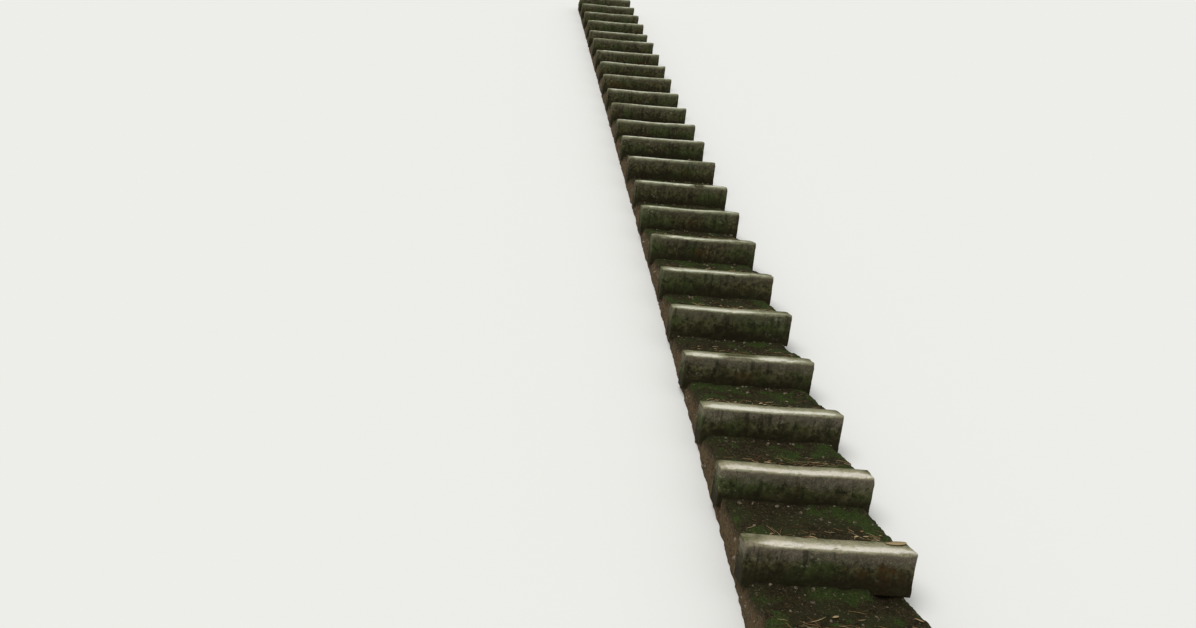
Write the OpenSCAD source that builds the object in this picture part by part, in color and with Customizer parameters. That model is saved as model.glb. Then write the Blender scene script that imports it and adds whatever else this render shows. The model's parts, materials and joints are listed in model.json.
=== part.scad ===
// Outdoor stone steps: long kerb stones set on edge as risers, each with a bench of packed
// earth and gravel behind it, climbing in one straight flight on a sloping bed.
// Millimetres. X runs across the flight, Y uphill, Z up. The origin lies on the sloping
// underside of the bed, plumb below the front face of the lowest kerb, on the centreline.

/* [Flight] */
// Number of kerbs, each with its tread
steps = 24; // [2:1:28]
// Height from one tread to the next
rise = 205; // [150:1:215]
// Length from one kerb's face to the next
going = 555; // [400:5:800]

/* [Kerb stones] */
// Length of a kerb across the flight
kerb_l = 915; // [600:5:1200]
// Thickness of a kerb from its face to its back
kerb_t = 125; // [90:1:150]
// Height of a kerb from its underside to its top
kerb_h = 255; // [240:1:305]
// Radius of the worn nose along the top of the face
nose_r = 24; // [10:1:40]
// Width of the bevel along the back of the top
back_bevel = 9; // [2:1:20]
// Width of the worn bevel up both ends of the face
end_bevel = 7; // [2:1:15]

/* [Treads] */
// How far the tread lies below the top of the kerb in front of it
tread_drop = 8; // [2:1:20]
// How far the kerb ends stand out beyond the side of the tread
side_reveal = 15; // [0:1:40]
// Depth of the path worn down the middle of each tread
worn_depth = 10; // [4:1:18]
// Width of that worn path
worn_w = 640; // [400:10:800]

/* [Bed] */
// Thickness of the bed below the face of each kerb
bed_h = 100; // [70:5:200]
// Length of the bed in front of the lowest kerb
toe_l = 160; // [60:5:400]

/* [Wear] */
// How far a kerb may be out of line across the flight
side_wander = 8; // [0:1:20]
// How far a kerb may be out of line along the flight
face_wander = 6; // [0:1:12]
// Number of small spalls along the nose of each kerb
spall_count = 4; // [0:1:6]

/* [Hidden] */
$fn = 48;
overcut = 1;
stone_colour = "#b5ab9c";
earth_colour = "#6b5a45";
bed_colour = "#7d7263";

// Kerbs that have settled or heaved, as [kerb number, height in mm]
settled = [[2, 15], [4, -15], [5, -20], [11, 15], [12, 20], [15, -10], [19, 15], [20, -15]];
// Larger damage to the noses, as [kerb number, place along the kerb, radius, depth]
damage = [
    [2, 385, 60, 9],
    [4, -60, 75, 8],
    [5, -120, 110, 10],
    [5, -30, 95, 12],
    [5, 65, 120, 9],
    [8, 290, 70, 10],
    [10, 120, 45, 17],
    [13, -330, 90, 11],
    [15, -35, 80, 13],
    [18, 210, 90, 10],
    [21, -180, 70, 11]
];
// Rain has washed this hollow in the first tread, just in front of the second kerb
hollow_x = 330;
hollow_gap = 34;
hollow_r = 150;
hollow_depth = 62;

slope = rise / going;
tread_w = kerb_l - 2 * side_reveal;
worn_r = (worn_w * worn_w / 4 + worn_depth * worn_depth) / (2 * worn_depth);
side_offset = rands(-side_wander, side_wander, steps, 11);
face_offset = rands(-face_wander, face_wander, steps, 23);

function two_digits(number) = number < 10 ? str("0", number) : str(number);
function kerb_name(i) = str("kerb_", two_digits(i + 1));
function tread_name(i) = str("tread_", two_digits(i + 1));

// Heights and places that kerbs and treads share
function settlement(i) = let (found = [for (s = settled) if (s[0] == i + 1) s[1]])
    len(found) > 0 ? found[0] : 0;
function kerb_bottom(i) = bed_h + i * rise + settlement(i);
function kerb_top(i) = kerb_bottom(i) + kerb_h;
function face_y(i) = i * going + (i > 0 ? face_offset[i] : 0);
function back_y(i) = face_y(i) + kerb_t;
function tread_top(i) = kerb_top(i) - tread_drop;
function bed_z(y) = y * slope;

// The section of a kerb, with its face at y = 0 and its underside at z = 0
module kerb_section() {
    difference() {
        union() {
            square([kerb_t, kerb_h - nose_r]);
            translate([nose_r, kerb_h - nose_r - overcut])
                square([kerb_t - nose_r, nose_r + overcut]);
            translate([nose_r, kerb_h - nose_r])
                circle(nose_r);
        }
        polygon([
            [kerb_t - back_bevel, kerb_h],
            [kerb_t - back_bevel, kerb_h + overcut],
            [kerb_t + overcut, kerb_h + overcut],
            [kerb_t + overcut, kerb_h - back_bevel],
            [kerb_t, kerb_h - back_bevel]
        ]);
    }
}

// Stands a section in the plane of Y and Z up and extrudes it across the flight
module across(width) {
    translate([-width / 2, 0, 0])
        rotate([90, 0, 90])
            linear_extrude(width)
                children();
}

// The worn upright edge at one end of a kerb's face
module end_wear(side) {
    translate([side * kerb_l / 2, 0, -overcut])
        rotate([0, 0, 45])
            translate([-end_bevel / sqrt(2), -end_bevel / sqrt(2), 0])
                cube([end_bevel * sqrt(2), end_bevel * sqrt(2), kerb_h + 2 * overcut]);
}

// A shell-shaped flake lost from the nose: the ball's centre lies out from the nose's own
// centre, so that the ball bites to the given depth
module spall(x, radius, depth, lean) {
    reach = nose_r + radius - depth;
    translate([x, nose_r - reach * sin(lean), kerb_h - nose_r + reach * cos(lean)])
        sphere(radius);
}

module nose_wear(i) {
    place = rands(-0.46 * kerb_l, 0.46 * kerb_l, spall_count + 1, 100 + i);
    radius = rands(22, 60, spall_count + 1, 200 + i);
    bite = rands(0.08, 0.16, spall_count + 1, 300 + i);
    lean = rands(30, 65, spall_count + 1, 400 + i);
    for (k = [1:1:spall_count])
        spall(place[k], radius[k], radius[k] * bite[k], lean[k]);
    for (d = damage)
        if (d[0] == i + 1)
            spall(d[1], d[2], d[3], 50);
}

module kerb(i) {
    color(stone_colour)
        translate([side_offset[i], face_y(i), kerb_bottom(i)])
            difference() {
                across(kerb_l)
                    kerb_section();
                end_wear(-1);
                end_wear(1);
                nose_wear(i);
            }
}

// The section of the earth behind kerb i: it runs from the back of that kerb under the next
// one, which stands in its seat, and the last one ends plumb as a landing
module tread_section(i) {
    start = back_y(i);
    if (i < steps - 1) {
        next_face = face_y(i + 1);
        next_back = back_y(i + 1);
        seat = kerb_bottom(i + 1);
        polygon([
            [start, bed_z(start)],
            [next_back, bed_z(next_back)],
            [next_back, seat],
            [next_face, seat],
            [next_face, tread_top(i)],
            [start, tread_top(i)]
        ]);
    } else {
        end = steps * going;
        polygon([
            [start, bed_z(start)],
            [end, bed_z(end)],
            [end, tread_top(i)],
            [start, tread_top(i)]
        ]);
    }
}

// The shallow path that feet have worn along the middle of tread i
module worn_path(i) {
    start = back_y(i);
    end = i < steps - 1 ? face_y(i + 1) : steps * going + overcut;
    translate([0, start - overcut, tread_top(i) - worn_depth + worn_r])
        rotate([-90, 0, 0])
            cylinder(h = end - start + overcut, r = worn_r, $fn = 240);
}

module washed_hollow() {
    translate([hollow_x, face_y(1) - hollow_gap, tread_top(0) - hollow_depth + hollow_r])
        sphere(hollow_r);
}

module tread(i) {
    color(earth_colour)
        difference() {
            across(tread_w)
                tread_section(i);
            worn_path(i);
            if (i == 0)
                washed_hollow();
        }
}

// The bed in front of and under the lowest kerb
module foot_bed() {
    toe = -toe_l;
    ground = tread_top(0) - rise;
    color(bed_colour)
        across(tread_w)
            polygon([
                [toe, bed_z(toe)],
                [kerb_t, bed_z(kerb_t)],
                [kerb_t, kerb_bottom(0)],
                [0, kerb_bottom(0)],
                [0, ground],
                [toe, ground]
            ]);
}

for (i = [0:steps - 1]) {
    kerb(i);
    tread(i);
}
foot_bed();
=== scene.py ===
"""Looks of the outdoor stone steps: worn kerb stones with packed earth treads between them."""

import json
import math
import random
from types import SimpleNamespace

import bmesh
import bpy
import numpy as np
from mathutils import Matrix, Vector
from mathutils.bvhtree import BVHTree


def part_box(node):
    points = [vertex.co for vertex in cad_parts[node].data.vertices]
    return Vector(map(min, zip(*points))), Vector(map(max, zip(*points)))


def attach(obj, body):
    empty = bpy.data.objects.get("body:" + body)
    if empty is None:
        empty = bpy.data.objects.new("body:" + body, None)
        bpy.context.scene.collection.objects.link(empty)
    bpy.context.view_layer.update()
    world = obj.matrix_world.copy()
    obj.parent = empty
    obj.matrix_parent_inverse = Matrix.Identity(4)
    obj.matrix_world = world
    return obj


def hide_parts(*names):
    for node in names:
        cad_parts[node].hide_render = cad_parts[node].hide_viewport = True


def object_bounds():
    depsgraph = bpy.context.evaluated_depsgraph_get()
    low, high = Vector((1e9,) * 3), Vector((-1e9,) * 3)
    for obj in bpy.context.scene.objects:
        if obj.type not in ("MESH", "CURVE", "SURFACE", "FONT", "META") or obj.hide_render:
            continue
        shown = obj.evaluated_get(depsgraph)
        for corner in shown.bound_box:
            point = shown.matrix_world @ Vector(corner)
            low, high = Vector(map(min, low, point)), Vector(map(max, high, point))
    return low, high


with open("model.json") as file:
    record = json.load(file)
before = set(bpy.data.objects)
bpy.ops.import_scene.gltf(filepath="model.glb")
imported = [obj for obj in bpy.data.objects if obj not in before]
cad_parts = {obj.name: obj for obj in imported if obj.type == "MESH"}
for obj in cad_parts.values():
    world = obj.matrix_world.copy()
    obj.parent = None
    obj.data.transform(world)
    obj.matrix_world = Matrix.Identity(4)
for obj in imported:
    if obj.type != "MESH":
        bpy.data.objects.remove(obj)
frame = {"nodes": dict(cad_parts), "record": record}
cad_lo, cad_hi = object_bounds()
scene = bpy.context.scene

# Where the photograph was taken from, in the part's own frame
PHOTO_W = 1196
PHOTO_FOCAL = 860.0  # focal length, in pixels
PHOTO_CENTRE_LEFT = 99.8  # pixels by which the optical axis lies left of the middle
CAMERA_AT = (-1.95, -3.553, 2.549)
CAMERA_YAW = -1.63  # degrees
CAMERA_PITCH = -11.88
CAMERA_ROLL = 4.53
SENSOR_MM = 36.0
CAMERA_FAR = 200.0  # nothing beyond this is drawn

KERBS = sorted(n for n in frame["nodes"] if n.startswith("kerb_"))
TREADS = sorted(n for n in frame["nodes"] if n.startswith("tread_"))

bed_axis = next(m for m in frame["record"]["mounts"] if m["name"] == "bed_underside")["axis"]
SLOPE = -bed_axis[1] / bed_axis[2]
DOWN = Vector((0, 0, -1))


# Mesh pitch on the steps near the camera, on those beyond and on the rest
NEAR_STEPS = 6
NEAR_PITCH = 0.0062
MIDDLE_STEPS = 12
MIDDLE_PITCH = 0.0082
FAR_PITCH = 0.0115
EARTH_COARSER = 1.2  # how much coarser the mesh of the earth is


def mesh_pitch(index):
    """Steps near the camera get a finer mesh."""
    if index < NEAR_STEPS:
        return NEAR_PITCH
    return MIDDLE_PITCH if index < MIDDLE_STEPS else FAR_PITCH


# Noise on arrays of points

# Large odd numbers that scramble a cell's place and the seed
MIX_X = np.uint32(374761393)
MIX_Y = np.uint32(668265263)
MIX_Z = np.uint32(2246822519)
MIX_SEED = 3266489917
ALL_BITS = 0xFFFFFFFF
OCTAVE_SEEDS = 31  # seeds between one octave and the next
OCTAVE_SPREAD = 1.6  # brings a sum of octaves back to about -1 to 1


def lattice(cell, seed):
    """A fixed random number from 0 to 1 for each whole-number cell."""
    c = cell.astype(np.int64).astype(np.uint32)
    with np.errstate(over="ignore"):
        h = c[..., 0] * MIX_X + c[..., 1] * MIX_Y
        h = h + c[..., 2] * MIX_Z + np.uint32((seed * MIX_SEED) & ALL_BITS)
        h = (h ^ (h >> np.uint32(15))) * MIX_Z
        h = (h ^ (h >> np.uint32(13))) * np.uint32(MIX_SEED)
    h = h ^ (h >> np.uint32(16))
    return h.astype(np.float64) / (ALL_BITS + 1)


def noise(points, size, seed):
    """Smooth noise from -1 to 1, with features of about that size in metres."""
    p = np.asarray(points, float) / size
    base = np.floor(p)
    f = p - base
    f = f * f * f * (f * (f * 6 - 15) + 10)
    total = 0.0
    for dx in (0, 1):
        wx = f[..., 0] if dx else 1 - f[..., 0]
        for dy in (0, 1):
            wy = f[..., 1] if dy else 1 - f[..., 1]
            for dz in (0, 1):
                wz = f[..., 2] if dz else 1 - f[..., 2]
                total += wx * wy * wz * lattice(base + (dx, dy, dz), seed)
    return total * 2 - 1


def layered(points, size, seed, octaves, gain=0.5):
    """Several octaves of noise, still from about -1 to 1."""
    total, weight, scale = 0.0, 0.0, 1.0
    for k in range(octaves):
        total += scale * noise(points, size / 2 ** k, seed + OCTAVE_SEEDS * k)
        weight += scale
        scale *= gain
    return total / weight * OCTAVE_SPREAD


def step(low, high, value):
    """0 below low, 1 above high, smooth between."""
    t = np.clip((value - low) / (high - low), 0, 1)
    return t * t * (3 - 2 * t)


def rows_of(x, y, z):
    """Rows of three numbers, each from an array or the same in every row."""
    return np.stack(np.broadcast_arrays(x, y, z), -1).astype(float)


def spaced(start, end, pitch):
    """Even steps from start to end, each about as long as the pitch."""
    count = max(1, int(round(abs(end - start) / pitch)))
    return np.linspace(start, end, count + 1)


# Meshes from arrays

TINY = 1e-12


def make_object(name, verts, faces, material, attributes=None, smooth=True):
    """A mesh with one material, and a number at each point for each attribute."""
    mesh = bpy.data.meshes.new(name)
    mesh.from_pydata(np.asarray(verts).tolist(), [], faces)
    for key, values in (attributes or {}).items():
        layer = mesh.attributes.new(key, "FLOAT", "POINT")
        layer.data.foreach_set("value", np.asarray(values, np.float32))
    mesh.update()
    mesh.polygons.foreach_set("use_smooth", [smooth] * len(mesh.polygons))
    mesh.materials.append(material)
    obj = bpy.data.objects.new(name, mesh)
    scene.collection.objects.link(obj)
    return obj


def add_piece(name, verts, faces, material, attributes, smooth=True, stands_for=None):
    """An object that belongs to the steps."""
    obj = make_object(name, verts, faces, material, attributes, smooth)
    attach(obj, "root")
    if stands_for:
        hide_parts(stands_for)


def ring_faces(rings, count):
    """Quads between rings of count points, and a fan to one last point at each end."""
    faces = []
    for r in range(rings - 1):
        a, b = r * count, (r + 1) * count
        for k in range(count):
            n = (k + 1) % count
            faces.append((a + k, a + n, b + n, b + k))
    first, last = rings * count, rings * count + 1
    for k in range(count):
        n = (k + 1) % count
        faces.append((first, n, k))
        faces.append((last, (rings - 1) * count + k, (rings - 1) * count + n))
    return faces


def closed_rings(rings):
    """The points and faces of a loft that is closed at both ends."""
    ends = [rings[0].mean(0)[None], rings[-1].mean(0)[None]]
    return np.concatenate(rings + ends), ring_faces(len(rings), len(rings[0]))


def unit(rows):
    """Each row made 1 long."""
    return rows / np.maximum(np.linalg.norm(rows, axis=1), TINY)[:, None]


def vertex_normals(verts, faces):
    """The direction out of the surface at each point, from quads and triangles."""
    normals = np.zeros_like(verts)
    for corners in (4, 3):
        block = np.array([f for f in faces if len(f) == corners])
        a, b, c, last = (verts[block[:, k]] for k in (0, 1, 2, -1))
        cross = np.cross(c - a, last - b)
        for k in range(corners):
            np.add.at(normals, block[:, k], cross)
    return unit(normals)


def surface_tree(mesh):
    """A search tree of a mesh's surface."""
    return BVHTree.FromPolygons(
        [v.co.copy() for v in mesh.vertices], [tuple(p.vertices) for p in mesh.polygons]
    )


# Materials

RUN_OFF_STRETCH = Vector((1.0, 1.0, 0.16))  # run-off streaks are long from top to bottom
BAND_STRETCH = Vector((0.35, 0.35, 3.0))  # and bands in cut earth are flat


def srgb(red, green, blue):
    """A colour as a screen shows it, 0 to 255, turned into the linear colour of shaders."""
    def linear(c):
        c /= 255
        return c / 12.92 if c <= 0.04045 else ((c + 0.055) / 1.055) ** 2.4
    return (linear(red), linear(green), linear(blue), 1.0)


class Graph:
    """A material, with short ways to add shader nodes to it."""

    def __init__(self, name):
        self.material = bpy.data.materials.new(name)
        self.material.use_nodes = True
        self.tree = self.material.node_tree
        self.place = self.node("TexCoord", {}).outputs["Object"]

    def put(self, socket, value):
        """Links a socket or sets its value, where a tuple is a colour as a screen shows it."""
        if isinstance(value, bpy.types.NodeSocket):
            self.tree.links.new(value, socket)
        elif isinstance(value, tuple):
            socket.default_value = srgb(*value)
        elif value is not None:
            socket.default_value = value

    def node(self, kind, inputs, **settings):
        node = self.tree.nodes.new("ShaderNode" + kind)
        for key, value in settings.items():
            setattr(node, key, value)
        for key, value in inputs.items():
            self.put(node.inputs[key], value)
        return node

    def noise(self, scale, detail, rough, distort=0.0, stretch=None):
        """Noise from 0 to 1, with about that many features a metre."""
        place = self.place
        if stretch:
            place = self.node("Mapping", {"Vector": place, "Scale": stretch}).outputs["Vector"]
        inputs = {"Vector": place, "Scale": scale, "Detail": detail, "Roughness": rough}
        inputs["Distortion"] = distort
        return self.node("TexNoise", inputs).outputs["Fac"]

    def warped(self, scale, reach):
        """The place moved about by noise, so that cells drawn with it are ragged."""
        field = self.node("TexNoise", {"Vector": self.place, "Scale": scale, "Detail": 3.0})
        inputs = {0: field.outputs["Color"], 1: Vector((reach, reach, reach)), 2: self.place}
        return self.node("VectorMath", inputs, operation="MULTIPLY_ADD").outputs["Vector"]

    def cells(self, scale, place):
        """The distance from the middle of each cell, and a random number for the cell."""
        cell = self.node("TexVoronoi", {"Vector": place, "Scale": scale})
        split = self.node("SeparateColor", {"Color": cell.outputs["Color"]})
        return cell.outputs["Distance"], split.outputs["Red"]

    def attribute(self, name):
        """A number that each point of the mesh holds."""
        return self.node("Attribute", {}, attribute_name=name).outputs["Fac"]

    def ramp(self, value, low, high, start=0.0, end=1.0):
        """From start to end, smoothly, as the value goes from low to high."""
        inputs = {"Value": value, "From Min": low, "From Max": high, "To Min": start, "To Max": end}
        return self.node("MapRange", inputs, interpolation_type="SMOOTHSTEP").outputs["Result"]

    def math(self, kind, a, b):
        return self.node("Math", {0: a, 1: b}, operation=kind).outputs["Value"]

    def times(self, a, b):
        return self.math("MULTIPLY", a, b)

    def shifted(self, value, *parts):
        """A value moved up and down by noises, each given with its strength."""
        for field, strength in parts:
            centred = self.math("SUBTRACT", field, 0.5)
            value = self.math("ADD", value, self.times(centred, strength))
        return value

    def mix(self, amount, a, b):
        """Colour a with that amount of colour b over it."""
        inputs = {"Factor": amount, "A": a, "B": b}
        return self.node("Mix", inputs, data_type="RGBA").outputs["Result"]

    def blend(self, value, low, high, a, b, most=1.0):
        """Colour a where the value is low, turning to colour b where it is high."""
        return self.mix(self.ramp(value, low, high, 0.0, most), a, b)

    def stained(self, colour, *stains):
        """The colour under stains: for each a value, its low and high, a colour and how strong."""
        for value, low, high, stain, most in stains:
            colour = self.blend(value, low, high, colour, stain, most)
        return colour

    def bump(self, height, distance, strength, below=None):
        """Fine relief in the shading, over coarser relief if that is given."""
        inputs = {"Height": height, "Distance": distance, "Strength": strength, "Normal": below}
        return self.node("Bump", inputs).outputs["Normal"]

    def finish(self, colour, roughness, specular, normal=None):
        """Sets the shader and gives the material back."""
        inputs = self.tree.nodes["Principled BSDF"].inputs
        self.put(inputs["Base Color"], colour)
        self.put(inputs["Roughness"], roughness)
        self.put(inputs["Specular IOR Level"], specular)
        self.put(inputs["Normal"], normal)
        return self.material


def kerb_patterns(g):
    """The attributes and noises that the colours of a kerb share, the finest noise first."""
    p = SimpleNamespace()
    p.wear = g.attribute("wear")
    p.depth = g.attribute("depth")
    p.algae = g.attribute("algae")
    p.grain = g.noise(430, 3, 0.6)
    p.speck = g.noise(120, 3, 0.6)
    p.mottle = g.noise(38, 4, 0.6, 0.3)
    p.ragged = g.noise(19, 6, 0.68, 0.6)
    p.blotch = g.noise(11, 5, 0.62, 0.5)
    p.cloud = g.noise(3.1, 3, 0.5)
    fleck_distance, fleck_pick = g.cells(260, g.warped(240, 0.006))
    p.fleck = g.ramp(fleck_distance, 0.6, 0.2)
    p.light_fleck = g.times(p.fleck, g.ramp(fleck_pick, 0.76, 0.84))
    p.dark_fleck = g.times(p.fleck, g.ramp(fleck_pick, 0.26, 0.16))
    return p


def nose_colours(g, p):
    """The pale stone of a worn nose, and the tan that borders it."""
    pale = g.stained(
        g.blend(p.speck, 0.36, 0.64, (230, 228, 213), (205, 201, 183)),
        (p.blotch, 0.44, 0.7, (208, 199, 181), 0.8),
        (g.attribute("tint"), 0, 1, (198, 188, 175), 0.5),
        (p.dark_fleck, 0, 1, (164, 156, 136), 0.45),
        (p.algae, 0, 1, (190, 195, 174), 0.6),
        (p.mottle, 0.56, 0.74, (158, 152, 120), 0.7),
    )
    tan = g.stained(
        g.blend(p.speck, 0.36, 0.64, (160, 157, 130), (128, 124, 96)),
        (p.blotch, 0.45, 0.7, (140, 130, 106), 0.6),
        (p.algae, 0, 1, (132, 135, 108), 0.7),
        (p.mottle, 0.5, 0.7, (100, 97, 66), 0.85),
    )
    return pale, tan


def crust_cover(g, p):
    """Where pale crust lies, in groups of ragged spots."""
    distance, pick = g.cells(34, g.warped(46, 0.05))
    spots = g.ramp(g.shifted(distance, (p.speck, 0.5), (pick, 0.5)), 0.2, 0.1)
    return g.times(spots, g.ramp(g.noise(5.5, 2, 0.5), 0.52, 0.64, 0.0, 0.6))


def rust_cover(g, p):
    """Where rust shows, in ragged patches about the kerb's stain."""
    patches = g.ramp(g.noise(17, 5, 0.66, 0.8), 0.42, 0.6)
    about_stain = g.ramp(g.shifted(g.attribute("stain"), (p.blotch, 0.6)), 0.15, 0.75)
    return g.times(g.times(patches, about_stain), 0.8)


def stained_and_shaded_face_colour(g, p):
    """Brown and green stains, with bare stone high up, dark streaks, crust and rust, in colours kept
    dark as painted shade, and darker low down as dirt and painted shade.
    """
    # The face's colours are darker than the top's as painted shade, on top of their stains
    face = g.stained(
        g.blend(p.mottle, 0.36, 0.66, (78, 75, 47), (42, 39, 21)),
        (p.cloud, 0.44, 0.62, (56, 70, 32), 0.7),
        (p.ragged, 0.5, 0.66, (25, 25, 13), 0.8),
        (p.ragged, 0.42, 0.3, (96, 92, 66), 0.55),
    )
    bare = g.blend(p.speck, 0.36, 0.64, (126, 119, 102), (92, 86, 69))
    bare = g.blend(p.blotch, 0.4, 0.66, bare, (104, 91, 80), 0.7)
    uneven_depth = g.shifted(p.depth, (p.mottle, 0.05), (p.blotch, 0.13), (p.ragged, 0.08))
    showing = g.times(g.ramp(uneven_depth, 0.12, 0.03), g.ramp(p.algae, 0.2, 1.0, 0.85, 0.35))
    face = g.stained(
        g.mix(showing, face, bare),
        (p.light_fleck, 0, 1, (118, 110, 90), 0.3),
        (p.dark_fleck, 0, 1, (28, 26, 16), 0.4),
        (g.noise(24, 4, 0.65, 0.3, RUN_OFF_STRETCH), 0.5, 0.66, (30, 27, 15), 0.65),
    )
    face = g.mix(crust_cover(g, p), face, (132, 132, 108))
    face = g.mix(rust_cover(g, p), face, (70, 48, 20))
    # Darker towards the bottom of the face: soil dirt, and painted shade in the corner at the tread
    # below
    low_dirt_and_shade = g.shifted(p.depth, (p.blotch, 0.12), (p.ragged, 0.08))
    return g.stained(face, (low_dirt_and_shade, 0.1, 0.2, (34, 29, 15), 0.85))


def kerb_material():
    """Pale stone, worn clean along the nose, and stained by soil and algae everywhere else, with
    painted shade in the darker colours of the face.
    """
    g = Graph("kerb_stone")
    p = kerb_patterns(g)
    pale, tan = nose_colours(g, p)
    grime = g.blend(p.mottle, 0.38, 0.62, (92, 90, 60), (58, 55, 33))
    grime = g.blend(p.blotch, 0.44, 0.64, grime, (62, 73, 40), 0.7)

    worn = g.shifted(p.wear, (p.mottle, 0.5), (p.blotch, 0.6), (p.speck, 0.3), (p.ragged, 0.4))
    # The face gets its darker colours, which hold painted shade, and the top gets its grime
    colour = g.blend(g.attribute("top"), 0.25, 0.75, stained_and_shaded_face_colour(g, p), grime)
    colour = g.blend(worn, 0.12, 0.5, colour, tan)
    colour = g.blend(worn, 0.5, 0.9, colour, pale)
    colour = g.stained(
        colour,
        (g.attribute("fresh"), 0.25, 0.8, (206, 199, 178), 0.6),
        (g.attribute("pit"), 0.35, 0.9, (42, 37, 24), 0.7),
    )
    roughness = g.ramp(p.grain, 0.3, 0.7, 0.78, 0.95)
    low = g.bump(g.shifted(p.mottle, (p.ragged, 0.7)), 0.007, 0.6)
    middle = g.bump(g.shifted(p.speck, (p.fleck, 0.15)), 0.003, 0.8, low)
    return g.finish(colour, roughness, 0.1, g.bump(p.grain, 0.0012, 0.7, middle))


def soil_colour(g, crumbs, clods):
    """Brown and faintly banded where the earth is cut, darker in the topsoil and on the open top."""
    side = g.stained(
        g.blend(crumbs, 0.35, 0.68, (66, 53, 37), (104, 87, 62)),
        (g.noise(5.0, 3, 0.5, 0.5, BAND_STRETCH), 0.42, 0.62, (82, 71, 53), 0.7),
        (clods, 0.48, 0.7, (54, 43, 30), 0.8),
        (g.shifted(g.attribute("topsoil"), (clods, 0.6)), 0.2, 0.8, (47, 40, 28), 0.8),
    )
    upper = g.stained(
        g.blend(crumbs, 0.35, 0.68, (25, 22, 12), (62, 55, 34)),
        (clods, 0.42, 0.66, (24, 22, 11), 0.8),
        (g.noise(4.5, 4, 0.55, 0.3), 0.44, 0.6, (44, 48, 26), 0.6),
    )
    return g.mix(g.attribute("open"), side, upper)


def earth_material():
    """Packed dark earth with fine gravel, and a green film of algae on top."""
    g = Graph("packed_earth")
    crumbs = g.noise(110, 5, 0.68)
    clods = g.noise(32, 5, 0.66, 0.4)
    soil = soil_colour(g, crumbs, clods)

    pebble_distance, pebble_pick = g.cells(62, g.warped(110, 0.012))
    fleck_distance, fleck_pick = g.cells(135, g.warped(240, 0.006))
    pebble = g.times(g.ramp(pebble_distance, 0.4, 0.26), g.ramp(pebble_pick, 0.74, 0.78))
    fleck = g.times(g.ramp(fleck_distance, 0.36, 0.24), g.ramp(fleck_pick, 0.78, 0.82))
    pebble_tone = g.mix(fleck_pick, (66, 60, 44), (112, 104, 83))
    soil = g.mix(g.times(pebble, 0.7), soil, pebble_tone)
    soil = g.mix(g.times(fleck, 0.65), soil, (100, 91, 70))

    green = g.blend(crumbs, 0.34, 0.7, (27, 38, 14), (63, 77, 35))
    green = g.blend(clods, 0.5, 0.72, green, (46, 49, 24), 0.7)
    film = g.shifted(g.attribute("algae"), (crumbs, 1.3), (clods, 0.5))
    colour = g.blend(film, 0.3, 0.7, soil, green, 0.85)
    # Darker soil against the next kerb: damp, and painted shade in the corner there
    colour = g.mix(g.ramp(g.attribute("damp_and_shade"), 0.0, 1.0, 0.0, 0.55), colour, (32, 26, 17))
    low = g.bump(clods, 0.014, 0.7)
    domes = g.math("ADD", g.times(pebble, 0.8), g.times(fleck, 0.4))
    middle = g.bump(domes, 0.004, 0.8, low)
    return g.finish(colour, 0.95, 0.06, g.bump(crumbs, 0.005, 0.9, middle))


def gravel_material():
    """Loose and half buried stones, each with a tone of its own, dusted with soil."""
    g = Graph("gravel")
    tone = g.attribute("tone")
    grain = g.noise(260, 4, 0.65)
    dust = g.noise(48, 3, 0.6)
    colour = g.stained(
        g.blend(tone, 0, 1, (66, 60, 47), (146, 138, 120)),
        (tone, 0.45, 0.6, (98, 80, 62), 0.5),
        (grain, 0.5, 0.72, (66, 59, 46), 0.7),
        (dust, 0.4, 0.6, (62, 53, 37), 0.8),
    )
    return g.finish(colour, 0.92, 0.15, g.bump(grain, 0.002, 0.6))


def litter_material():
    """Dry straw, twigs and brown leaf scraps."""
    g = Graph("litter")
    tone = g.attribute("tone")
    fibre = g.noise(300, 3, 0.6)
    colour = g.blend(tone, 0.0, 0.5, (70, 50, 32), (118, 90, 60))
    colour = g.blend(tone, 0.5, 1.0, colour, (176, 158, 118))
    colour = g.blend(fibre, 0.45, 0.7, colour, (80, 64, 42), 0.6)
    return g.finish(colour, 0.8, 0.15, g.bump(fibre, 0.0008, 0.5))


KERB_STONE = kerb_material()
EARTH = earth_material()
GRAVEL = gravel_material()
LITTER = litter_material()


# Kerb stones

NOSE_R = 0.024
BACK_BEVEL = 0.009
ARRIS = 0.004
NOSE_FINER = 0.5  # mesh pitch round the nose, as a share of that on the face
BACK_COARSER = 4  # and on the back, which the next tread hides
FOOT_COARSER = 5  # and underneath
# Rings of points on an end, as shares of the outline, and how far in the one on its arris lies
END_SHARES = (0.1, 0.22, 0.35, 0.48, 0.6, 0.71, 0.81, 0.89, 0.95, 0.985)
ARRIS_RING = (0.3 * ARRIS, 0.995)

# Pale wear: how far it reaches back and down from the nose near the camera, and how much more far off
WEAR_BACK = 0.075
WEAR_BACK_MORE = 0.03
WEAR_DOWN = 0.013
WEAR_DOWN_MORE = 0.014
WEAR_FULL = 0.004  # depth below the top down to which it is full
CLEAN_END = 0.09  # it fades over this length towards each end of a kerb
# Where a nose is dull under dirt and algae: the kerb, the place along it, half the length, how dull
DULL_NOSES = [
    (2, -0.44, 0.1, 0.5),
    (4, 0.3, 0.25, 0.12),
    (5, -0.07, 0.13, 0.6),
    (5, 0.4, 0.1, 0.3),
    (6, 0.36, 0.22, 0.4),
    (7, 0.36, 0.2, 0.25),
    (8, -0.4, 0.1, 0.3),
    (8, 0.3, 0.25, 0.2),
    (9, 0.1, 0.6, 0.13),
    (10, 0.17, 0.05, 0.9),
    (11, 0.34, 0.22, 0.3),
    (14, -0.3, 0.2, 0.2),
    (16, 0.1, 0.5, 0.15),
    (19, -0.2, 0.25, 0.2),
]

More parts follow.
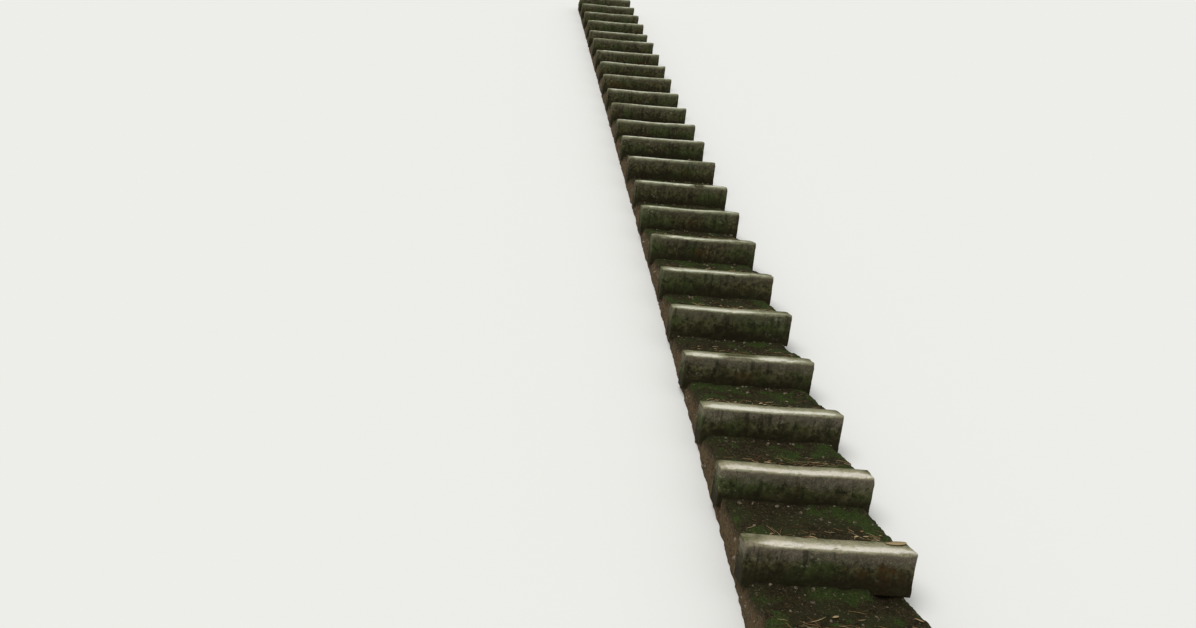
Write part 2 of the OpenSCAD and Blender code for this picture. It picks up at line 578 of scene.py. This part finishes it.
# Depths of the roughness and the damage
ROUGH = 0.001
ROUGH_FACE = 0.0024  # how much rougher the face is than the top
PIT_DEPTH = 0.002
BITE_DEPTH = 0.008
NICK_DEPTH = 0.0025
FOOT_WEAR = 0.005  # how far feet have worn the middle of a kerb down
FOOT_WEAR_HALF = 0.24  # and half the length of that hollow
UNEVEN_WEAR = 0.0025
TOP_REACH = 0.06  # depth below the top over which that wear dies out
CORNER_IN = 0.0042  # how far in and down the top corners are worn
CORNER_DOWN = 0.0056
CORNER_REACH = 0.012

# The kerb on which rust shows plainly, with its place along it, half its width and its strength
RUST_KERB = "kerb_02"
PLAIN_RUST = (0.28, 0.13, 1.0)
KERB_SEED = 500


def kerb_ring(thick, height, fine):
    """The outline of a kerb: under it to its back, up the back, over the top and down the face."""
    nose = [
        (NOSE_R - NOSE_R * math.cos(a), height - NOSE_R + NOSE_R * math.sin(a))
        for a in spaced(0, math.pi / 2, NOSE_FINER * fine / NOSE_R)
    ]
    face = [(0, z) for z in spaced(0.0, height - NOSE_R, fine)[:-1]]
    top = [(y, height) for y in spaced(NOSE_R, thick - BACK_BEVEL, fine)[1:-1]]
    bevel = [(thick - BACK_BEVEL + BACK_BEVEL * t, height - BACK_BEVEL * t) for t in (0.0, 0.5, 1.0)]
    back = [(thick, z) for z in spaced(height - BACK_BEVEL, 0.0, BACK_COARSER * fine)[1:]]
    under = [(y, 0.0) for y in spaced(thick, 0.0, FOOT_COARSER * fine)[1:-1]]
    return np.array(face + nose + top + bevel + back + under)[::-1]


def kerb_mesh(lo, hi, fine):
    """Rings of points along a plain block with the kerb's outline, and across its ends."""
    ring = kerb_ring(hi.y - lo.y, hi.z - lo.z, fine)
    middle = ring.mean(0)
    end = [(0.0, share) for share in END_SHARES] + [ARRIS_RING]
    rows = [(lo.x + inset, share) for inset, share in end]
    rows += [(x, 1.0) for x in spaced(lo.x + ARRIS, hi.x - ARRIS, fine)]
    rows += [(hi.x - inset, share) for inset, share in end[::-1]]
    rings = []
    for x, share in rows:
        p = middle + (ring - middle) * share
        rings.append(rows_of(x, lo.y + p[:, 0], lo.z + p[:, 1]))
    return closed_rings(rings)


def kerb_places(points, lo, hi):
    """Points on a kerb, with how far each is along from its middle, back from its face and down."""
    at = SimpleNamespace(points=points)
    at.along = points[:, 0] - (lo.x + hi.x) / 2
    at.back = points[:, 1] - lo.y
    at.down = hi.z - points[:, 2]
    at.from_end = (hi.x - lo.x) / 2 - np.abs(at.along)
    return at


def kerb_wear(at, index):
    """1 where the nose is worn pale, falling to 0 back over the top and down the face."""
    reach_back = WEAR_BACK + WEAR_BACK_MORE * float(step(3, 9, index))
    reach_down = WEAR_DOWN + WEAR_DOWN_MORE * float(step(4, 14, index))
    wear = np.exp(-np.maximum(0, at.back - NOSE_R) / reach_back)
    wear *= np.exp(-np.maximum(0, at.down - WEAR_FULL) / reach_down)
    wear *= 0.6 + 0.4 * step(0.0, CLEAN_END, at.from_end)
    dull = 0.14 * float(step(3, 8, index)) + 0.06 * float(step(14, 20, index))
    dull += 0.1 * layered(at.points, 0.16, seed=101, octaves=3)
    for number, place, half, amount in DULL_NOSES:
        if number == index + 1:
            dull += amount * np.exp(-(((at.along - place) / half) ** 4))
    return np.maximum(wear - dull * step(0.2, 0.8, wear), 0)


def kerb_damage(points, wear):
    """Where a kerb has pits, and bites and nicks along the worn nose, from 0 to 1."""
    pit = step(0.45, 0.8, noise(points, 0.02, seed=71)) * step(-0.2, 0.4, noise(points, 0.15, seed=73))
    broken = layered(points, 0.055, seed=91, octaves=3, gain=0.6) + 0.35 * noise(points, 0.3, seed=95)
    bite = step(0.36, 0.66, broken) * step(0.35, 0.8, wear)
    nick = step(0.42, 0.62, noise(points, 0.021, seed=107)) * step(0.5, 0.9, wear)
    nick *= step(-0.1, 0.5, noise(points, 0.2, seed=109))
    return pit, bite, nick


def worn_points(at, normals, pit, bite, nick):
    """A kerb's points moved in by roughness and damage, and down by wear."""
    face = step(0.03, 0.08, at.down)
    relief = layered(at.points, 0.11, seed=5, octaves=5, gain=0.58)
    inward = (ROUGH + ROUGH_FACE * face) * (1 - relief) + PIT_DEPTH * pit * face
    inward = inward + BITE_DEPTH * bite + NICK_DEPTH * nick
    final = at.points - normals * np.maximum(inward, 0)[:, None]
    near_top = step(TOP_REACH, 0.0, at.down)
    worn = FOOT_WEAR * np.exp(-((at.along / FOOT_WEAR_HALF) ** 2))
    worn += UNEVEN_WEAR * (1 + noise(at.points, 0.28, seed=83))
    corner = np.exp(-at.from_end / CORNER_REACH) * near_top * (1 + noise(at.points, 0.04, seed=99))
    final[:, 0] -= CORNER_IN * corner * np.sign(at.along)
    final[:, 2] -= worn * near_top + CORNER_DOWN * corner
    return final


def kerb_stain(at, node, rng):
    """How strongly rust stains the face, about one place on each kerb."""
    place, half, most = PLAIN_RUST
    if node != RUST_KERB:
        place, half, most = (rng.uniform(*span) for span in ((-0.4, 0.4), (0.06, 0.16), (0.2, 0.7)))
    return most * np.exp(-(((at.along - place) / half) ** 2)) * step(0.03, 0.13, at.down)


def make_kerb(index, node):
    """One kerb, laid on the CAD solid and roughened from there."""
    lo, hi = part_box(node)
    verts, faces = kerb_mesh(lo, hi, mesh_pitch(index))
    tree = surface_tree(frame["nodes"][node].data)
    onto = np.array([tree.find_nearest(Vector(v))[0][:] for v in verts])
    at = kerb_places(onto, lo, hi)
    wear = kerb_wear(at, index)
    pit, bite, nick = kerb_damage(onto, wear)
    final = worn_points(at, vertex_normals(onto, faces), pit, bite, nick)
    rng = random.Random(KERB_SEED + index)
    attributes = {
        "wear": wear,
        "depth": at.down,
        "top": step(0.02, 0.045, at.back) * step(0.03, 0.01, at.down),
        "fresh": bite * step(-0.3, 0.3, noise(onto, 0.2, seed=97)),
        "pit": pit * (1 - wear),
        "stain": kerb_stain(at, node, rng),
        "tint": np.full(len(final), rng.random()),
        "algae": np.full(len(final), 0.15 + 0.85 * float(step(1, 7, index))),
    }
    name = "kerb_stone" + node.removeprefix("kerb")
    add_piece(name, final, faces, KERB_STONE, attributes, stands_for=node)


# Treads and the bed at the foot

EMBED = 0.005  # how far the earth runs on inside the rough face or back of a kerb
PROBE = 0.0005  # how far inside a CAD edge its height is taken
SEAT_PITCH = 0.03  # mesh pitch under the next kerb
UNDER_PITCH = 0.06  # and on the underside
SIDE_COARSER = 1.4  # mesh pitch up a cut side, against that on top
SIDE_HEIGHT = 0.3  # about the height of a cut side

# Relief of the open top
SUNK = 0.005  # how far the surface has sunk below the CAD top
RELIEF = 0.008
CRUMBS = 0.0035
ALGAE_LIFT = 0.003  # how far the film of algae stands up
MOST_PROUD = 0.004  # nothing stands further above the CAD top's highest point
EDGE_FALL = 0.034  # how far the crumbled edges of the top fall
EDGE_REACH = 0.024
HEAP = 0.02  # how high soil is heaped against the next kerb
HEAP_REACH = 0.04
DAMP_AND_SHADE_REACH = 0.03  # and how far from that kerb the soil is darker, damp and with painted shade in the corner

# Relief of the cut sides and ends
SIDE_IN = 0.007  # how far in from the CAD side a cut side lies
SIDE_ROUGH = 0.008
SIDE_CRUMBS = 0.004
ROUNDING = 0.016  # how much further in its upper edge lies
ROUNDING_REACH = 0.03
TOP_BLEND = 0.05  # over this width the points on top follow the sides in
END_ROUGH = 0.009
TOPSOIL = 0.045  # depth of the darker topsoil
TOPSOIL_EDGE = 0.01  # depth to which it is full at a cut end
CAP_RINGS = 24  # rings of points on a cut end
CAP_SETS_IN = 12  # how fast its roughness sets in from its edge


def side_inset(points, corner_z):
    """How far the cut side of the earth lies in from the plane of the CAD side."""
    rough = SIDE_IN + SIDE_ROUGH * layered(points, 0.13, seed=47, octaves=4, gain=0.6)
    rough += SIDE_CRUMBS * noise(points, 0.028, seed=57)
    below = np.maximum(corner_z - points[..., 2], 0)
    return np.maximum(rough, 0) + ROUNDING * np.exp(-below / ROUNDING_REACH)


def end_inset(x, y, z):
    """How far the cut face at an end lies in from its plane."""
    relief = layered(rows_of(x, y, z), 0.12, seed=77, octaves=5, gain=0.6)
    return np.maximum(END_ROUGH * (1 - relief), 0)


def grid_place(line, value):
    """Where a value lies on an evenly spaced line, as the number of the gap and the share of it."""
    place = np.clip((value - line[0]) / (line[1] - line[0]), 0, len(line) - 1.001)
    return int(place), place - int(place)


class Earth:
    """A block of packed earth: rings of points round its section, one behind the other."""

    def __init__(self, node, fine, starts_at_kerb, seat_from):
        self.node = node
        self.lo, self.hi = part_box(node)
        self.fine = fine
        self.seat_from = seat_from
        self.start = self.lo.y
        self.end = self.hi.y if seat_from is None else seat_from
        first = self.start - EMBED if starts_at_kerb else self.start
        last = self.end if seat_from is None else self.end + EMBED
        self.open_y = spaced(first, last, fine)
        seat_y = [] if seat_from is None else spaced(last + PROBE, self.hi.y, SEAT_PITCH)
        self.y = np.concatenate([self.open_y, seat_y])
        self.x = spaced(self.lo.x, self.hi.x, fine)
        self.is_open = np.arange(len(self.y)) < len(self.open_y)
        self.surface()

    def probed_top(self):
        """Heights of the CAD solid under every point of the grid."""
        tree = surface_tree(frame["nodes"][self.node].data)
        xs = np.clip(self.x, self.lo.x + PROBE, self.hi.x - PROBE)
        last = np.where(self.is_open, self.end, self.hi.y)
        ys = np.clip(self.y, self.start + PROBE, last - PROBE)
        above = self.hi.z + 1
        return np.array([[tree.ray_cast(Vector((x, y, above)), DOWN)[0].z for x in xs] for y in ys])

    def surface(self):
        """The open top, with its relief, crumbled edges and the soil heaped at the next kerb."""
        top = self.probed_top()
        grid_x, grid_y = np.meshgrid(self.x, self.y)
        points = rows_of(grid_x, grid_y, top)
        edge = np.minimum(grid_x - self.lo.x, self.hi.x - grid_x)
        patches = layered(points, 0.17, seed=61, octaves=4, gain=0.6)
        self.algae = step(-0.15, 0.45, patches + 0.25 * noise(points, 0.7, seed=67))
        lift = RELIEF * layered(points, 0.15, seed=7, octaves=5, gain=0.6)
        lift = lift + CRUMBS * noise(points, 0.024, seed=17) - SUNK
        lift += ALGAE_LIFT * self.algae * (0.5 + noise(points, 0.018, seed=19))
        crumbled = 0.7 + 0.6 * layered(points, 0.09, seed=27, octaves=3)
        lift -= np.maximum(EDGE_FALL * np.exp(-edge / EDGE_REACH) * crumbled, 0)
        if self.seat_from is not None:
            near = np.exp(-np.maximum(self.end - grid_y, 0) / HEAP_REACH)
            lift += HEAP * near * (0.7 + 0.7 * noise(points, 0.11, seed=37))
        covered = ~self.is_open[:, None]
        self.algae = np.where(covered, 0, self.algae)
        self.top = np.minimum(top + np.where(covered, 0, lift), self.hi.z + MOST_PROUD)

    def height(self, x, y):
        """The finished surface at a place on the open top."""
        a, u = grid_place(self.x, x)
        b, v = grid_place(self.open_y, y)
        front = self.top[b, a] * (1 - u) + self.top[b, a + 1] * u
        behind = self.top[b + 1, a] * (1 - u) + self.top[b + 1, a + 1] * u
        return front * (1 - v) + behind * v

    def corner_z(self, side, y):
        """The height of the top at one side of the block."""
        return self.top[np.searchsorted(self.y, y), 0 if side < 0 else -1]

    def side_x(self, side, y, z):
        """Where the finished side lies, at a place on it."""
        plane = self.lo.x if side < 0 else self.hi.x
        return plane - side * float(side_inset(np.array([plane, y, z]), self.corner_z(side, y)))

    def side_column(self, side, y, row_top):
        """Points up one side of the section, how far in the top one lies, and the topsoil in them."""
        plane = self.lo.x if side < 0 else self.hi.x
        bottom = y * SLOPE
        count = int(round(SIDE_HEIGHT / (self.fine * SIDE_COARSER)))
        z = bottom + (row_top - bottom) * np.linspace(0, 1, count + 1)
        topsoil = np.exp(-(row_top - z) / TOPSOIL)
        flat = rows_of(plane, y, z)
        inset = side_inset(flat, z[-1])
        flat[:, 0] -= side * inset
        return flat, inset[-1], topsoil

    def rings(self):
        """Rings of points: up the left side, over the top, down the right side and back underneath."""
        under = spaced(self.hi.x, self.lo.x, UNDER_PITCH)[1:-1]
        rings, marks = [], []
        for k, y in enumerate(self.y):
            left, left_in, left_soil = self.side_column(-1, y, self.top[k, 0])
            right, right_in, right_soil = self.side_column(1, y, self.top[k, -1])
            x_top = self.x + left_in * np.exp(-(self.x - self.lo.x) / TOP_BLEND)
            x_top -= right_in * np.exp(-(self.hi.x - self.x) / TOP_BLEND)
            over = rows_of(x_top, y, self.top[k])
            foot = rows_of(under, y, y * SLOPE)
            rings.append(np.concatenate([left[:-1], over, right[:-1][::-1], foot]))
            marks.append(np.concatenate([
                rows_of(0, 0, left_soil[:-1]),
                rows_of(self.is_open[k], self.algae[k], 1),
                rows_of(0, 0, right_soil[:-1][::-1]),
                0 * foot,
            ]))
        return rings, marks

    def cap(self, ring, along, row):
        """Rings that close one end, with a rough cut face."""
        middle = np.array([0.0, ring[0, 1], (ring[:, 2].max() + ring[:, 2].min()) / 2])
        made, marks = [], []
        for share in np.linspace(1, 0, CAP_RINGS + 2)[1:-1]:
            inner = middle + (ring - middle) * share
            inset = end_inset(*inner.T)
            inner[:, 1] += along * inset * min(1.0, CAP_SETS_IN * (1 - share))
            made.append(inner)
            above = np.interp(inner[:, 0], self.x, self.top[row]) - inner[:, 2]
            soil = np.exp(-np.maximum(above - TOPSOIL_EDGE, 0) / TOPSOIL)
            marks.append(rows_of(0, 0, soil))
        return made, marks

    def build(self, name, slot, front_cap=False, back_cap=False):
        """The piece itself, with a rough cut face at the ends that have a cap."""
        rings, marks = self.rings()
        if front_cap:
            extra, extra_marks = self.cap(rings[0], 1, 0)
            rings, marks = extra[::-1] + rings, extra_marks[::-1] + marks
        if back_cap:
            extra, extra_marks = self.cap(rings[-1], -1, -1)
            rings, marks = rings + extra, marks + extra_marks
        verts, faces = closed_rings(rings)
        mark = np.concatenate(marks + [np.zeros((2, 3))])
        # Damp soil and painted shade on the top, against the next kerb
        damp_and_shade = np.zeros(len(verts))
        if self.seat_from is not None:
            damp_and_shade = np.exp(-np.abs(self.end - verts[:, 1]) / DAMP_AND_SHADE_REACH) * mark[:, 0]
        attributes = {"open": mark[:, 0], "algae": mark[:, 1], "topsoil": mark[:, 2], "damp_and_shade": damp_and_shade}
        add_piece(name, verts, faces, EARTH, attributes, stands_for=self.node)


# Loose stones and litter, many small closed meshes joined in one

STONE_SHAPES = 30  # different shapes of each kind of stone
STONE_FACETS = 6  # flat sides on each
FINE_STONE = 0.009  # stones of a larger radius get the finer shapes
STONE_LEAN = 0.5  # how far a stone may lean, in radians
GRAVEL_COUNT = 64  # loose stones on each block of earth
GRAVEL_SIZE = 0.004  # radius of the smallest, and how much more the largest has
GRAVEL_MORE = 0.012
GRAVEL_FLAT = 0.7
GRAVEL_MARGIN = 0.045
AGAINST_KERB = 0.4  # share of them that lie against the next kerb
AGAINST_SPREAD = 0.05
SIDE_STONES = 30  # stones in each cut side of a block
END_STONES = 46  # and in a cut end
EMBEDDED_SIZE = 0.006
EMBEDDED_MORE = 0.024
EMBEDDED_FLAT = 0.75
END_MARGIN = 0.03
UNDER_MARGIN = 0.008  # embedded stones stay this far above the underside
TOP_MARGIN = 0.02  # and this far below the top
# Outer ends of embedded stones are cut off this far inside the CAD box
SIDE_FLUSH = (0.002, 0.006)
END_FLUSH = (0.001, 0.006)

LITTER_COUNT = 44  # pieces of litter on each tread
LEAF_EVERY = 4  # one in this many is a leaf scrap, the rest are straw
LEAF_LENGTH = (0.018, 0.045)
LEAF_HALF_WIDTH = (0.004, 0.009)
LEAF_THICK = 0.0006
LEAF_CURL = (0.1, 0.6)
STRAW_LENGTH = (0.03, 0.11)
STRAW_HALF_WIDTH = (0.0009, 0.0019)
STRAW_BEND = 5  # in radians a metre
LITTER_POINTS = 6  # points along each
LITTER_MARGIN = 0.07  # its middle stays this far from the sides of the tread
LITTER_EDGE = 0.05  # and its ends this far
LITTER_GAP = 0.004  # and this far from the kerbs
LITTER_SPREAD = 0.07
TIP = 0.06  # how far the tips of a strip lie along the half wave of its width
# Section of a strip: how far aside, how far up in thicknesses, and how much the curl lifts it
STRIP_SECTION = [
    (-1, 0, 1.0), (-0.5, 1, 0.25), (0.5, 1, 0.25),
    (1, 0, 1.0), (0.5, -1, 0.25), (-0.5, -1, 0.25),
]

# The big leaf on the second kerb, placed from the kerb's right end and its back
BIG_LEAF_TREAD = "tread_02"  # its litter holds the leaf too
BIG_LEAF_IN = 0.078
BIG_LEAF_FORWARD = 0.034
BIG_LEAF_HALF = 0.06
BIG_LEAF_HALF_WIDTH = 0.02
BIG_LEAF_THICK = 0.0007
BIG_LEAF_POINTS = 15
BIG_LEAF_BOW = 0.012  # how far its middle rib bows, and how far it lies askew
BIG_LEAF_SLANT = 0.008
BIG_LEAF_GAP = 0.001  # how far it lies above the stone
BIG_LEAF_RIGHT_LIFT = 0.009  # how strongly its two tips curl up
BIG_LEAF_LEFT_LIFT = 0.006
BIG_LEAF_CURL = 0.5
BIG_LEAF_TONE = 0.8

TREAD_SEED = 100
FOOT_SEED = 99


class Heap:
    """Gathers small meshes into one object."""

    def __init__(self):
        self.verts, self.faces, self.tones, self.count = [], [], [], 0

    def add(self, verts, faces, tone):
        self.verts.append(verts)
        self.faces += [tuple(k + self.count for k in f) for f in faces]
        self.tones.append(np.full(len(verts), tone))
        self.count += len(verts)

    def build(self, name, material, smooth):
        tone = {"tone": np.concatenate(self.tones)}
        add_piece(name, np.concatenate(self.verts), self.faces, material, tone, smooth)


def stone_shapes(subdivisions, seed):
    """Lumpy stones with a few flat sides, each about 1 in radius, and the faces they share."""
    ball = bmesh.new()
    bmesh.ops.create_icosphere(ball, subdivisions=subdivisions, radius=1.0)
    verts = np.array([v.co[:] for v in ball.verts])
    faces = [tuple(v.index for v in f.verts) for f in ball.faces]
    ball.free()
    rng = np.random.default_rng(seed)
    shapes = []
    for k in range(STONE_SHAPES):
        place = verts + 7 * k
        swell = 1 + 0.22 * noise(place, 0.9, seed=3) + 0.1 * noise(place, 0.4, seed=4)
        shaped = verts * swell[:, None]
        planes = rng.normal(size=(STONE_FACETS, 3))
        for n in unit(planes):
            over = shaped @ n - rng.uniform(0.6, 0.85)
            shaped -= np.maximum(over, 0)[:, None] * n
        shapes.append(shaped)
    return shapes, faces


ROUGH_STONES = stone_shapes(1, seed=1)
FINE_STONES = stone_shapes(2, seed=2)


def stone(rng, size, flat):
    """A stone of about that radius, flattened, turned at random."""
    shapes, faces = FINE_STONES if size > FINE_STONE else ROUGH_STONES
    shape = rng.choice(shapes) * (1.0, rng.uniform(0.6, 0.95), flat * rng.uniform(0.7, 1.1)) * size
    lean = [Matrix.Rotation(rng.uniform(-STONE_LEAN, STONE_LEAN), 3, axis) for axis in "XY"]
    turn = Matrix.Rotation(rng.uniform(0, 2 * math.pi), 3, "Z") @ (lean[0] @ lean[1])
    return shape @ np.array(turn).T, faces


def add_gravel(heap, block, rng):
    """Stones lying on the open top, many of them against the next kerb."""
    for _ in range(GRAVEL_COUNT):
        size = GRAVEL_SIZE + GRAVEL_MORE * rng.random() ** 2.5
        x = rng.uniform(block.lo.x + GRAVEL_MARGIN, block.hi.x - GRAVEL_MARGIN)
        y = rng.uniform(block.start, block.end)
        if rng.random() < AGAINST_KERB:
            y = block.end - abs(rng.gauss(0, AGAINST_SPREAD))
        y = np.clip(y, block.start + size, block.end - size)
        verts, faces = stone(rng, size, GRAVEL_FLAT)
        at = (x, y, block.height(x, y) + size * rng.uniform(-0.3, 0.1))
        heap.add(verts + at, faces, rng.random())


def embedded_height(rng, y, top_z, size):
    """A random height for a stone of that size in a cut face, or None where it is too low."""
    low = y * SLOPE + UNDER_MARGIN + size * 0.8
    high = top_z - TOP_MARGIN - size
    return rng.uniform(low, high) if high > low else None


def embed_stone(heap, rng, size, place, axis, flush_range):
    """Adds a stone at that place, cut off along that axis just inside the CAD box."""
    verts, faces = stone(rng, size, EMBEDDED_FLAT)
    verts += place
    flush = rng.uniform(*flush_range)
    verts[:, axis] = np.clip(verts[:, axis], cad_lo[axis] + flush, cad_hi[axis] - flush)
    heap.add(verts, faces, rng.random())


def add_side_stones(heap, block, rng):
    """Stones embedded in the two cut sides."""
    for side in (-1, 1):
        for _ in range(SIDE_STONES):
            size = EMBEDDED_SIZE + EMBEDDED_MORE * rng.random() ** 2
            y = rng.uniform(block.lo.y + size, block.hi.y - size)
            z = embedded_height(rng, y, block.corner_z(side, y), size)
            if z is None:
                continue
            x = block.side_x(side, y, z) - side * size * rng.uniform(0.4, 0.75)
            embed_stone(heap, rng, size, (x, y, z), 0, SIDE_FLUSH)


def add_end_stones(heap, block, rng, back):
    """Stones embedded in the cut face at the foot or the head of the flight."""
    plane, inward = (block.hi.y, -1) if back else (block.lo.y, 1)
    row = -1 if back else 0
    for _ in range(END_STONES):
        size = EMBEDDED_SIZE + EMBEDDED_MORE * rng.random() ** 2
        x = rng.uniform(block.lo.x + END_MARGIN + size, block.hi.x - END_MARGIN - size)
        z = embedded_height(rng, plane, float(np.interp(x, block.x, block.top[row])), size)
        if z is None:
            continue
        y = plane + inward * (end_inset(x, plane, z) + size * rng.uniform(0.2, 0.6))
        embed_stone(heap, rng, size, (x, y, z), 1, END_FLUSH)


def strip(path, half_width, thickness, curl):
    """A thin closed strip along a path: a stalk if it is narrow, a leaf if it is wide."""
    path = np.asarray(path)
    share = np.linspace(0, 1, len(path))
    widths = half_width * np.sin(np.pi * (TIP + (1 - 2 * TIP) * share)) ** 0.7
    along = unit(np.gradient(path, axis=0))
    aside = unit(np.cross(along, (0.0, 0.0, 1.0)))
    normal = np.cross(aside, along)
    rings = []
    for p, w, a, n in zip(path, widths, aside, normal):
        ring = [p + a * w * u + n * (thickness * v + curl * w * c) for u, v, c in STRIP_SECTION]
        rings.append(np.array(ring))
    return closed_rings(rings)


def lying_path(block, x, y, heading, bend, length, lift):
    """A bent path about a place on the open top, that far above it."""
    path = []
    for s in np.linspace(-0.5, 0.5, LITTER_POINTS) * length:
        px = x + s * math.cos(heading + bend * s)
        py = y + s * math.sin(heading + bend * s)
        px = np.clip(px, block.lo.x + LITTER_EDGE, block.hi.x - LITTER_EDGE)
        py = np.clip(py, block.start + LITTER_GAP, block.end - LITTER_GAP)
        path.append((px, py, block.height(px, py) + lift))
    return path


def add_litter(heap, block, rng):
    """Dry straw and leaf scraps, most of them just behind the kerb in front."""
    for k in range(LITTER_COUNT):
        leaf = k % LEAF_EVERY == 0
        length = rng.uniform(*(LEAF_LENGTH if leaf else STRAW_LENGTH))
        half_width = rng.uniform(*(LEAF_HALF_WIDTH if leaf else STRAW_HALF_WIDTH))
        x = rng.uniform(block.lo.x + LITTER_MARGIN, block.hi.x - LITTER_MARGIN)
        y = block.start + 0.01 + abs(rng.gauss(0, LITTER_SPREAD))
        heading = rng.gauss(0, 0.7)
        bend = rng.uniform(-STRAW_BEND, STRAW_BEND)
        path = lying_path(block, x, y, heading, bend, length, 0.002 + half_width * 0.4)
        thickness = LEAF_THICK if leaf else half_width
        curl = rng.uniform(*LEAF_CURL) if leaf else 0
        verts, faces = strip(path, half_width, thickness, curl)
        heap.add(verts, faces, rng.random())


def add_big_leaf(heap):
    """The curled dry leaf that lies on the right end of the second kerb."""
    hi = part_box("kerb_02")[1]
    stone_top = surface_tree(bpy.data.objects["kerb_stone_02"].data)
    path = []
    for s in np.linspace(-1, 1, BIG_LEAF_POINTS):
        x = hi.x - BIG_LEAF_IN + BIG_LEAF_HALF * s
        y = hi.y - BIG_LEAF_FORWARD + BIG_LEAF_BOW * s * s + BIG_LEAF_SLANT * s
        stone_z = stone_top.ray_cast(Vector((x, y, hi.z + 1)), DOWN)[0].z
        lift = BIG_LEAF_RIGHT_LIFT * max(s - 0.2, 0) ** 2 + BIG_LEAF_LEFT_LIFT * max(-s - 0.4, 0) ** 2
        path.append((x, y, stone_z + BIG_LEAF_GAP + lift))
    verts, faces = strip(path, BIG_LEAF_HALF_WIDTH, BIG_LEAF_THICK, BIG_LEAF_CURL)
    heap.add(verts, faces, BIG_LEAF_TONE)


def make_treads():
    """All the treads, each with its stones and litter."""
    for index, node in enumerate(TREADS):
        number = node.removeprefix("tread")
        seat_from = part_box(KERBS[index + 1])[0].y if index + 1 < len(KERBS) else None
        block = Earth(node, EARTH_COARSER * mesh_pitch(index), True, seat_from)
        block.build("tread_earth" + number, "packed_earth", back_cap=seat_from is None)
        rng = random.Random(TREAD_SEED + index)
        stones, litter = Heap(), Heap()
        add_gravel(stones, block, rng)
        add_side_stones(stones, block, rng)
        add_litter(litter, block, rng)
        if seat_from is None:
            add_end_stones(stones, block, rng, back=True)
        if node == BIG_LEAF_TREAD:
            add_big_leaf(litter)
        stones.build("gravel" + number, GRAVEL, smooth=False)
        litter.build("litter" + number, LITTER, smooth=True)


def make_foot():
    """The bed in front of and under the lowest kerb, with its stones."""
    block = Earth("foot_bed", EARTH_COARSER * mesh_pitch(0), False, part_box(KERBS[0])[0].y)
    block.build("foot_bed_earth", "bed_gravel", front_cap=True)
    stones = Heap()
    rng = random.Random(FOOT_SEED)
    add_side_stones(stones, block, rng)
    add_gravel(stones, block, rng)
    add_end_stones(stones, block, rng, back=False)
    stones.build("gravel_00", GRAVEL, smooth=False)


for kerb_index, kerb_node in enumerate(KERBS):
    make_kerb(kerb_index, kerb_node)
make_treads()
make_foot()


# Sloping ground sheet under the flight

SHEET_HALF = 40.0  # how far it reaches beyond the flight
SHEET_DROP = 0.006  # how far below the underside it lies
SHEET_COLOUR = (226, 226, 222)


def make_stage():
    """A plain pale sheet with the slope of the flight."""
    near, far = cad_lo.y - SHEET_HALF, cad_hi.y + SHEET_HALF
    corners = [(-SHEET_HALF, near), (SHEET_HALF, near), (SHEET_HALF, far), (-SHEET_HALF, far)]
    verts = [(x, y, y * SLOPE - SHEET_DROP) for x, y in corners]
    paper = Graph("sheet").finish(SHEET_COLOUR, 1.0, 0.0)
    make_object("ground_sheet", verts, [(0, 1, 2, 3)], paper)


# Light and camera

SKY_STRENGTH = 0.62
SKY_SHOWN = srgb(237, 237, 233)  # the background that the camera sees
SUN_STRENGTH = 1.7
SUN_WIDTH = 35  # in degrees, for the soft shadows of a dull day
SUN_TOWARD = (-0.45, -0.35, 1.0)


def make_world():
    """White light from all round, and a plain background that only the camera sees."""
    world = bpy.data.worlds.new("sky")
    scene.world = world
    world.use_nodes = True
    nodes, links = world.node_tree.nodes, world.node_tree.links
    light = nodes["Background"]
    light.inputs["Color"].default_value = (1, 1, 1, 1)
    light.inputs["Strength"].default_value = SKY_STRENGTH
    shown = nodes.new("ShaderNodeBackground")
    shown.inputs["Color"].default_value = SKY_SHOWN
    rays = nodes.new("ShaderNodeLightPath")
    mix = nodes.new("ShaderNodeMixShader")
    links.new(rays.outputs["Is Camera Ray"], mix.inputs["Fac"])
    links.new(light.outputs["Background"], mix.inputs[1])
    links.new(shown.outputs["Background"], mix.inputs[2])
    links.new(mix.outputs["Shader"], nodes["World Output"].inputs["Surface"])


def make_sun():
    """A wide, weak sun, high up at the front left."""
    sun = bpy.data.lights.new("sun", "SUN")
    sun.energy = SUN_STRENGTH
    sun.angle = math.radians(SUN_WIDTH)
    lamp = bpy.data.objects.new("sun", sun)
    lamp.rotation_mode = "QUATERNION"
    lamp.rotation_quaternion = Vector(SUN_TOWARD).to_track_quat("Z", "Y")
    scene.collection.objects.link(lamp)


def make_camera():
    """The camera where the photograph was taken from."""
    yaw, pitch, roll = (math.radians(a) for a in (CAMERA_YAW, CAMERA_PITCH, CAMERA_ROLL))
    ahead = Vector((-math.sin(yaw) * math.cos(pitch), math.cos(yaw) * math.cos(pitch), math.sin(pitch)))
    level = Vector((math.cos(yaw), math.sin(yaw), 0))
    upright = level.cross(ahead)
    right = math.cos(roll) * level + math.sin(roll) * upright
    up = -math.sin(roll) * level + math.cos(roll) * upright
    data = bpy.data.cameras.new("camera")
    data.sensor_width = SENSOR_MM
    data.lens = PHOTO_FOCAL / PHOTO_W * SENSOR_MM
    data.shift_x = PHOTO_CENTRE_LEFT / PHOTO_W
    data.clip_end = CAMERA_FAR
    camera = bpy.data.objects.new("camera", data)
    turn = Matrix((right, up, -ahead)).transposed()
    camera.matrix_world = Matrix.Translation(CAMERA_AT) @ turn.to_4x4()
    scene.collection.objects.link(camera)
    scene.camera = camera


make_stage()
make_world()
make_sun()
make_camera()
scene.view_settings.view_transform = "Standard"
